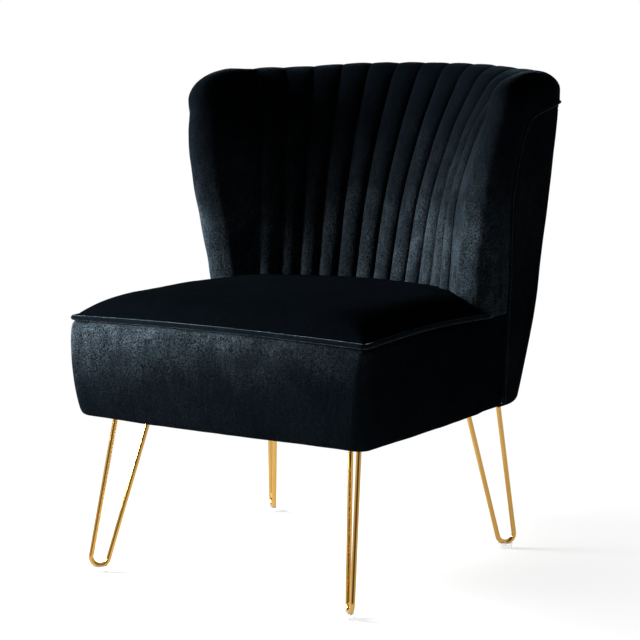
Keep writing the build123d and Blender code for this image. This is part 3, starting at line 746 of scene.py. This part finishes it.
class CHAIR_OT_seat_top(Operator):
    """Makes the crowned velvet pad of the seat"""

    bl_idname = "chair.seat_top"
    bl_label = "Seat Top"

    def execute(self, context):
        sizes = context.scene.chair_sizes
        half = SEAT_HALF_WIDTH - SEAT_TOP_INSET
        corner_rows, rows, columns = 10, 74, 96
        points = []
        for r in range(corner_rows + rows + 1):
            if r <= corner_rows:
                angle = math.pi / 2 * r / corner_rows
                back = SEAT_CORNER * (1 - math.cos(angle))
                reach = half - SEAT_CORNER + SEAT_CORNER * math.sin(angle)
            else:
                back = mix(SEAT_CORNER, SEAT_TOP_REAR_DEPTH, (r - corner_rows) / rows)
                reach = half
            line = []
            for c in range(columns + 1):
                side = math.sin(math.pi / 2 * (2 * c / columns - 1))
                x = side * reach
                depth = SEAT_TOP_INSET + back + FRONT_BOW * (x / half) ** 2
                crown = swell(nearer(half - abs(x), back), CROWN_RUN)
                crown *= 1 - CROWN_REAR_DROP * ease((back - CROWN_REAR_START) / CROWN_REAR_RUN)
                lift = seat_line_lift(x, depth) * (1 - ease(min(half - abs(x), back) / LIFT_FADE_RUN))
                height = SEAT_LINE - SEAT_TOP_DROP + lift + sizes.seat_crown * crown
                line.append(Vector((x, FRONT_Y + depth, height)))
            points.append(line)
        normals = grid_normals(points)
        for r, line in enumerate(points):
            for c, point in enumerate(line):
                inner = ease(min(half - abs(point.x), point.y - FRONT_Y) / SEAM_RUN)
                wave = ripple(point, "seat_top")
                line[c] = point + normals[r][c] * (sizes.slack * SEAT_SLACK * wave * inner)
        piece = sew_pad(points, "seat_top_pad", "velvet_seat_top", "seat_top")
        return {"FINISHED"}


class CHAIR_OT_seat_border(Operator):
    """Makes the padded band round the front and sides of the seat"""

    bl_idname = "chair.seat_border"
    bl_label = "Seat Border"

    def execute(self, context):
        sizes = context.scene.chair_sizes
        low, high, rows = BORDER_HEIGHTS[0], BORDER_HEIGHTS[-1], 40
        knots = len(BORDER_HEIGHTS) - 1
        steps = tuple(range(knots + 1))
        side_steps, corner_steps, front_steps = 52, 14, 40
        points = []
        for r in range(rows + 1):
            place = knots * r / rows
            height = steady(steps, BORDER_HEIGHTS, place)
            offset = steady(steps, BORDER_OFFSETS, place)
            share = (height - low) / (high - low)
            corner = mix(BAND_CORNER, SEAT_CORNER, share)
            edge = seat_edge(SEAT_HALF_WIDTH, corner, WELT_DEPTHS[1], side_steps, corner_steps, front_steps)
            line = []
            for x, depth, out in edge:
                lifted = height + seat_line_lift(x, depth) * share
                point = Vector((x, FRONT_Y + depth, lifted)) + out * offset
                joined = ease((depth - BAND_BLEND[0]) / (BAND_BLEND[1] - BAND_BLEND[0]))
                if joined:
                    level = height + (WING_FOOT + BAND_OVER_FOOT - high) * share ** 4
                    fold = min(offset, 0.0) if share < 0.5 else 0.0
                    reach = side_point(depth, level).x + fold - BAND_TUCK * share
                    point = point.lerp(Vector((math.copysign(reach, x), point.y, level)), joined)
                line.append(point)
            points.append(line)
        normals = grid_normals(points)
        for r, line in enumerate(points):
            share = r / rows
            inner = ease(share / 0.15) * ease((1 - share) / 0.1)
            for c, point in enumerate(line):
                wave = ripple(point, "band")
                line[c] = point + normals[r][c] * (sizes.slack * BAND_SLACK * wave * inner)
        piece = sew_pad(points, "seat_border_band", "velvet_band", "seat_border")
        return {"FINISHED"}


class CHAIR_OT_seat_piping(Operator):
    """Makes the piping between the seat's top and its band"""

    bl_idname = "chair.seat_piping"
    bl_label = "Seat Piping"

    def execute(self, context):
        radius = context.scene.chair_sizes.piping_radius
        inset = radius - PIPING_PROUD
        side_steps, corner_steps, front_steps = 44, 14, 40
        half, corner = SEAT_HALF_WIDTH - inset, SEAT_CORNER - inset
        edge = seat_edge(half, corner, PIPING_REAR_DEPTH, side_steps, corner_steps, front_steps)
        points = []
        for x, depth, _ in edge:
            tuck = PIPING_TUCK * ease((depth - PIPING_REAR_DEPTH + PIPING_TUCK_RUN) / PIPING_TUCK_RUN)
            reach = math.copysign(abs(x) - tuck, x)
            points.append(Vector((reach, FRONT_Y + inset + depth, SEAT_LINE + seat_line_lift(x, depth))))
        sew_tube("seat_piping_cord", points, radius, "seat_piping")
        return {"FINISHED"}


class CHAIR_OT_inside_back(Operator):
    """Makes the channelled pad of the inside back, rolled over the top edge"""

    bl_idname = "chair.inside_back"
    bl_label = "Inside Back"

    def execute(self, context):
        sizes = context.scene.chair_sizes
        across, inside_rows, roll_rows, rear_rows = 12, 62, 24, 8
        columns = sizes.channel_count * across
        lines, humps = [], []
        for c in range(columns + 1):
            channel = min(c // across, sizes.channel_count - 1)
            step = (c - channel * across) / across
            within = 0.5 - 0.5 * math.cos(math.pi * step)
            share = 2 * (channel + within) / sizes.channel_count - 1
            lines.append(back_meridian(share, inside_rows, roll_rows, rear_rows))
            humps.append(max(1 - abs(2 * within - 1) ** HUMP_FLATNESS, 0.0) ** HUMP_ROUNDNESS)
        rows = len(lines[0])
        points = [[line[r] for line in lines] for r in range(rows)]
        normals = grid_normals(points)
        for r, line in enumerate(points):
            crest = ease((r - inside_rows + roll_rows * 0.3) / (roll_rows * 0.8))
            fall = ease((r - inside_rows - roll_rows * 0.5) / (roll_rows * 0.5 + rear_rows))
            puff = sizes.channel_puff * mix(1.0, CREST_PUFF_SHARE, crest) * mix(1.0, REAR_PUFF_SHARE, fall)
            for c, point in enumerate(line):
                wave = ripple(point, "channels")
                line[c] = point + normals[r][c] * (humps[c] * (puff + sizes.slack * wave))
        piece = sew_pad(points, "inside_back_channels", "velvet_back", "inside_back")
        return {"FINISHED"}


def wing_front(height):
    """Depth of the wing's front edge."""
    return steady(WING_FRONT_LEVELS, WING_FRONT_DEPTHS, min(height, WING_FRONT_LEVELS[-1]))


def wing_walls(share, height):
    """Inner and outer wall of the right wing, share running from its front edge to the last seam."""
    half = side_point(0.0, height).x
    front = Vector((half - 2 * WING_NOSE, FRONT_Y + wing_front(height), height))
    inner = front.lerp(inside_point(1.0, height), share)
    rear = outside_point(1.0, height).y - FRONT_Y
    return inner, side_point(mix(wing_front(height), rear, share), height)


def rim_place(turn):
    """Share and height on the wing's rim: up its front edge to 1, then over the round corner to 2."""
    if turn <= 1.0:
        return 0.0, mix(WING_FOOT, WING_CORNER_FOOT, turn)
    angle = math.pi / 2 * (turn - 1.0)
    rise = (CREST_HEIGHTS[-1] - WING_CORNER_FOOT) * math.sin(angle) ** (2 / WING_CORNER_POWER)
    share = 1 - max(math.cos(angle), 0.0) ** (2 / WING_CORNER_POWER)
    return share, WING_CORNER_FOOT + rise + WING_RIDGE_RISE * math.sin(math.pi * share)


def wing_points(sizes):
    """Rows of points over the right wing, from its last channel seam round the rim to the side seam."""
    straight_rows, corner_rows, inner_steps, outer_steps, samples = 54, 44, 30, 34, 2400
    turns = [i / straight_rows for i in range(straight_rows)]
    turns += [1 + i / corner_rows for i in range(corner_rows + 1)]
    rim = sorted([2 * i / samples for i in range(samples + 1)] + turns)
    tree = KDTree(len(rim))
    for i, turn in enumerate(rim):
        inner, outer = wing_walls(*rim_place(turn))
        tree.insert((inner + outer) / 2, i)
    tree.balance()

    def on_wing(share, height, outside):
        inner, outer = wing_walls(share, height)
        middle = (inner + outer) / 2
        _, index, distance = tree.find(middle)
        roll = mix(WING_NOSE, CREST_ROLL, ease(rim_place(rim[index])[0]))
        short = 1 - min(distance / roll, 1.0)
        return middle.lerp(outer if outside else inner, math.sqrt(1 - short * short))

    points = []
    for turn in turns:
        rim_share, rim_height = rim_place(turn)
        corner = max(turn - 1.0, 0.0)
        seam_height = rim_height
        welt_height = mix(WING_FOOT, WELT_TURN_HEIGHT, turn)
        if corner:
            rise = math.sin(math.pi / 2 * corner)
            seam_height = mix(WING_CORNER_FOOT, CREST_HEIGHTS[-1] - CREST_ROLL, rise)
            welt_height = mix(WELT_TURN_HEIGHT, WELT_HEIGHT, rise)
        rear = outside_point(1.0, welt_height).y - FRONT_Y
        front = wing_front(welt_height)
        welt_share = (welt_depth(welt_height) - front) / (rear - front)
        line = []
        for i in range(inner_steps):
            t = math.sin(math.pi / 2 * i / inner_steps)
            line.append(on_wing(mix(1.0, rim_share, t), mix(seam_height, rim_height, t), False))
        for i in range(outer_steps + 1):
            t = 1 - math.cos(math.pi / 2 * i / outer_steps)
            line.append(on_wing(mix(rim_share, welt_share, t), mix(rim_height, welt_height, t), True))
        points.append(line)
    normals = grid_normals(points)
    for r, line in enumerate(points):
        ends = ease((len(points) - 1 - r) / 9)
        foot = ease(r / 8)
        for c, point in enumerate(line):
            seam_side = ease(c / 7)
            welt_side = ease((len(line) - 1 - c) / 6)
            wave = ripple(point, "wing")
            outer_foot = foot if c > inner_steps else 1.0
            puff = (WING_PUFF + sizes.slack * wave) * seam_side * welt_side * ends * outer_foot
            line[c] = point + normals[r][c] * puff
    return points


class CHAIR_OT_wings(Operator):
    """Makes the two plain padded wings with their round front edges"""

    bl_idname = "chair.wings"
    bl_label = "Wings"

    def execute(self, context):
        points = wing_points(context.scene.chair_sizes)
        for side in ("left", "right"):
            mirror = side == "left"
            piece = sew_pad(points, "wing_" + side, "velvet_back", "wing_pad_" + side, mirror)
        return {"FINISHED"}


def outside_line(height, count, inset):
    """Evenly spaced points round the outside back at a height, from the right seam to the left."""
    half, rear, corner, corner_x, corner_depth, joint = outside_arcs(height)
    start = welt_depth(height)
    straight = max(corner_depth - start, 0.0)
    begin = 0.0 if straight else math.asin(min((start - corner_depth) / corner, 1.0))
    turn = math.pi / 2 - joint
    runs = (straight, corner * (turn - begin), REAR_RADIUS * joint)
    line = []
    for i in range(count + 1):
        run = sum(runs) * i / count
        if run < runs[0]:
            point = Vector((half - inset, start + run, height))
        elif run < runs[0] + runs[1]:
            angle = begin + (run - runs[0]) / corner
            size = corner - inset
            x, depth = corner_x + size * math.cos(angle), corner_depth + size * math.sin(angle)
            point = Vector((x, depth, height))
        else:
            angle = joint - (run - runs[0] - runs[1]) / REAR_RADIUS
            size = REAR_RADIUS - inset
            point = Vector((size * math.sin(angle), rear + size * math.cos(angle), height))
        line.append(point + Vector((0.0, FRONT_Y, 0.0)))
    mirrored = [Vector((-p.x, p.y, p.z)) for p in line[:-1]]
    return line + mirrored[::-1]


class CHAIR_OT_outside_back(Operator):
    """Makes the plain panel of the outside back"""

    bl_idname = "chair.outside_back"
    bl_label = "Outside Back"

    def execute(self, context):
        sizes = context.scene.chair_sizes
        fold_rows, rows, count, blend = 6, 70, 60, 8
        points = []
        for r in range(fold_rows):
            angle = math.pi / 2 * r / fold_rows
            height = SEAT_UNDERSIDE + PANEL_FOLD * (1 - math.cos(angle))
            points.append(outside_line(height, count, PANEL_FOLD * (1 - math.sin(angle))))
        for r in range(rows + 1):
            height = mix(SEAT_UNDERSIDE + PANEL_FOLD, WELT_HEIGHT, r / rows)
            points.append(outside_line(height, count, 0.0))
        normals = grid_normals(points)
        width = len(points[0]) - 1
        for r, line in enumerate(points):
            upright = ease((len(points) - 1 - r) / blend) * ease(r / blend)
            for c, point in enumerate(line):
                inner = ease(min(c, width - c) / blend) * upright
                wave = ripple(point, "outside")
                line[c] = point + normals[r][c] * ((PANEL_PUFF + sizes.slack * wave) * inner)
        piece = sew_pad(points, "outside_back_panel", "velvet_outside", "outside_back")
        return {"FINISHED"}


class CHAIR_OT_outside_welt(Operator):
    """Makes the welt that edges the outside back"""

    bl_idname = "chair.outside_welt"
    bl_label = "Outside Welt"

    def execute(self, context):
        radius = context.scene.chair_sizes.welt_radius
        upright_steps, turn_steps, top_steps = 64, 32, 40
        start = SEAT_UNDERSIDE + WELT_END_RISE
        heights = [mix(start, WELT_TURN_HEIGHT, i / upright_steps) for i in range(upright_steps)]
        for i in range(turn_steps):
            heights.append(mix(WELT_TURN_HEIGHT, WELT_HEIGHT, math.sin(math.pi / 2 * i / turn_steps)))
        points = [side_point(welt_depth(height), height) for height in heights]
        points += [outside_point(1 - i / top_steps, WELT_HEIGHT) for i in range(top_steps + 1)]
        points += [Vector((-p.x, p.y, p.z)) for p in points[-2::-1]]
        proud = []
        for i, point in enumerate(points):
            along = points[min(i + 1, len(points) - 1)] - points[max(i - 1, 0)]
            out = Vector((point.x, point.y - FRONT_Y - WELT_CENTRE_DEPTH, 0.0))
            out -= along * (out.dot(along) / along.length_squared)
            proud.append(point + out.normalized() * (radius * WELT_PROUD_SHARE))
        sew_tube("outside_welt_cord", proud, radius, "outside_back_welt")
        return {"FINISHED"}


class CHAIR_OT_dust_cover(Operator):
    """Makes the thin black cloth stapled under the seat"""

    bl_idname = "chair.dust_cover"
    bl_label = "Dust Cover"

    def execute(self, context):
        low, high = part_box("dust_cover")
        points = []
        for r in range(CLOTH_STEPS + 1):
            line = []
            for c in range(CLOTH_STEPS + 1):
                u, v = c / CLOTH_STEPS, r / CLOTH_STEPS
                sag = CLOTH_SAG * math.sin(math.pi * u) * math.sin(math.pi * v)
                x, y = mix(high.x, low.x, u), mix(low.y, high.y, v)
                line.append(Vector((x, y, low.z + CLOTH_LIFT - sag)))
            points.append(line)
        bm = bmesh.new()
        lay_patch(bm, points)
        cloth = woven("cambric", (0.006, 0.006, 0.006), (0.02, 0.02, 0.021), scale=700.0, pitch=420.0)
        piece = finish_piece(bm, "dust_cover_cloth", cloth, ["dust_cover"], CLOTH_THICKNESS)
        return {"FINISHED"}


class CHAIR_OT_finishes(Operator):
    """Gives the solids that stay in view their own finishes"""

    bl_idname = "chair.finishes"
    bl_label = "Finishes"

    def execute(self, context):
        timber = plain(context.scene.chair_colours.timber)
        looks = {
            "brass_rod": brass("brass"),
            "clear_glide": glide_plastic("glide_plastic"),
            "steel_fastener": zinc("zinc"),
            "timber": sawn_timber("timber", timber, (0.3, 1.0, 1.0)),
            "plywood": sawn_timber("plywood", (0.6, 0.44, 0.27), (1.0, 1.0, 3.0), ply=True),
            "hardboard": sawn_timber("hardboard", (0.3, 0.18, 0.1), (1.0, 1.0, 1.0)),
            "webbing": woven("webbing", (0.03, 0.03, 0.032), (0.12, 0.12, 0.12), scale=500.0, pitch=260.0),
            "foam": cell_foam("foam"),
        }
        for part in frame["record"]["subparts"]:
            node = frame["nodes"][part["node"]]
            look = looks.get(part["material_slot"])
            if look and not node.hide_render:
                node.data.materials.clear()
                node.data.materials.append(look)
        return {"FINISHED"}


def light_paths(tree):
    """Wires that are 1 for rays from the camera, from a gloss and through clear plastic."""
    path = tree.make("ShaderNodeLightPath").socket.node.outputs
    return [Wire(tree.tree, path["Is %s Ray" % kind]) for kind in ("Camera", "Glossy", "Transmission")]


def stage_material(name, colour):
    """A matt floor that the camera and reflections see as white, with the shadow kept near the chair."""
    material, tree = start_material(name)
    camera, glossy, through = light_paths(tree)
    seen = (camera + glossy + through).clamped()
    away = tree.make("ShaderNodeVectorMath", {"operation": "LENGTH"}, {0: object_place(tree)}, "Value")
    near = 1 - ((away - SHADOW_START) * SHADOW_FADE).clamped()
    matt = tree.make("ShaderNodeBsdfDiffuse", None, {"Color": (*colour, 1.0)})
    white = tree.make("ShaderNodeEmission", None, {"Color": (1.0, 1.0, 1.0, 1.0), "Strength": 1.0})
    shown = 1 - near * near * SHADOW_SHARE
    surface = tree.make("ShaderNodeMixShader", None, {0: seen * shown, 1: matt, 2: white})
    tree.make("ShaderNodeOutputMaterial", None, {"Surface": surface})
    return material


def add_lamp(name, place, aim, size, power):
    """A rectangular lamp turned towards a point."""
    lamp = bpy.data.lights.new(name, "AREA")
    lamp.shape = "RECTANGLE"
    lamp.size, lamp.size_y = size
    lamp.energy = power
    item = bpy.data.objects.new(name, lamp)
    item.location = place
    item.rotation_mode = "QUATERNION"
    item.rotation_quaternion = (Vector(aim) - Vector(place)).to_track_quat("-Z", "Y")
    bpy.context.scene.collection.objects.link(item)


class CHAIR_OT_stage(Operator):
    """Sets the camera, the studio light and the floor"""

    bl_idname = "chair.stage"
    bl_label = "Stage"

    def execute(self, context):
        scene, view = context.scene, context.scene.chair_stage
        turn, rise = view.azimuth, view.elevation
        back = Vector((math.sin(turn) * math.cos(rise), -math.cos(turn) * math.cos(rise), math.sin(rise)))
        camera = bpy.data.cameras.new("camera")
        camera.lens = view.lens
        camera.sensor_width = SENSOR_WIDTH
        camera.dof.use_dof = False
        item = bpy.data.objects.new("camera", camera)
        item.location = Vector(view.target) + back * view.distance
        item.rotation_mode = "QUATERNION"
        item.rotation_quaternion = (-back).to_track_quat("-Z", "Y")
        scene.collection.objects.link(item)
        scene.camera = item

        bm = bmesh.new()
        bmesh.ops.create_grid(bm, x_segments=1, y_segments=1, size=FLOOR_HALF_SIZE)
        bmesh.ops.translate(bm, vec=(0.0, 0.0, -FLOOR_DROP), verts=bm.verts)
        mesh = bpy.data.meshes.new("floor")
        bm.to_mesh(mesh)
        bm.free()
        mesh.materials.append(stage_material("floor", plain(scene.chair_colours.floor)))
        floor = bpy.data.objects.new("floor", mesh)
        scene.collection.objects.link(floor)

        add_lamp("key", (-1.85, -0.95, 0.95), (0.0, 0.0, 0.5), (0.8, 1.0), view.key_power)
        add_lamp("fill", (2.5, -0.2, 1.4), (0.0, 0.1, 0.45), (1.0, 1.6), view.fill_power)
        add_lamp("top", (-0.3, 0.5, 2.9), (0.0, 0.0, 0.4), (1.6, 1.6), view.fill_power * TOP_SHARE)

        world = bpy.data.worlds.new("studio")
        world.use_nodes = True
        world.node_tree.nodes.clear()
        tree = Wire(world.node_tree)
        camera_ray, glossy_ray, through_ray = light_paths(tree)
        front = dot_product(tree, tree.make("ShaderNodeTexCoord", None, None, "Generated"), back)
        dark = ((front * front - DARK_START) * DARK_FADE).clamped() * view.dark_front
        seen = (camera_ray + through_ray + glossy_ray * (1 - dark)).clamped()
        strength = seen * (1.0 - view.ambient) + view.ambient
        sky = tree.make("ShaderNodeBackground", None, {"Color": (1.0, 1.0, 1.0, 1.0), "Strength": strength})
        tree.make("ShaderNodeOutputWorld", None, {"Surface": sky})
        scene.world = world
        scene.view_settings.view_transform = "Standard"
        return {"FINISHED"}


PIECES = (
    CHAIR_OT_stage,
    CHAIR_OT_seat_top,
    CHAIR_OT_seat_border,
    CHAIR_OT_seat_piping,
    CHAIR_OT_inside_back,
    CHAIR_OT_wings,
    CHAIR_OT_outside_back,
    CHAIR_OT_outside_welt,
    CHAIR_OT_dust_cover,
    CHAIR_OT_finishes,
)


class CHAIR_PT_pieces(Panel):
    """Lists the chair's pieces in the sidebar"""

    bl_idname = "CHAIR_PT_pieces"
    bl_label = "Side Chair"
    bl_space_type = "VIEW_3D"
    bl_region_type = "UI"
    bl_category = "Side Chair"

    def draw(self, context):
        for piece in PIECES:
            self.layout.operator(piece.bl_idname)


GROUPS = {"chair_sizes": ChairSizes, "chair_colours": ChairColours, "chair_stage": ChairStage}


def register():
    """Adds the properties, operators and panel to Blender."""
    for group in (*GROUPS.values(), *PIECES, CHAIR_PT_pieces):
        bpy.utils.register_class(group)
    for name, group in GROUPS.items():
        setattr(bpy.types.Scene, name, PointerProperty(type=group))


def unregister():
    """Takes them out again."""
    for name in GROUPS:
        delattr(bpy.types.Scene, name)
    for group in (CHAIR_PT_pieces, *reversed(PIECES), *reversed(GROUPS.values())):
        bpy.utils.unregister_class(group)


def main():
    """Makes every piece."""
    register()
    for piece in PIECES:
        family, name = piece.bl_idname.split(".")
        getattr(getattr(bpy.ops, family), name)()


if __name__ == "__main__":
    main()
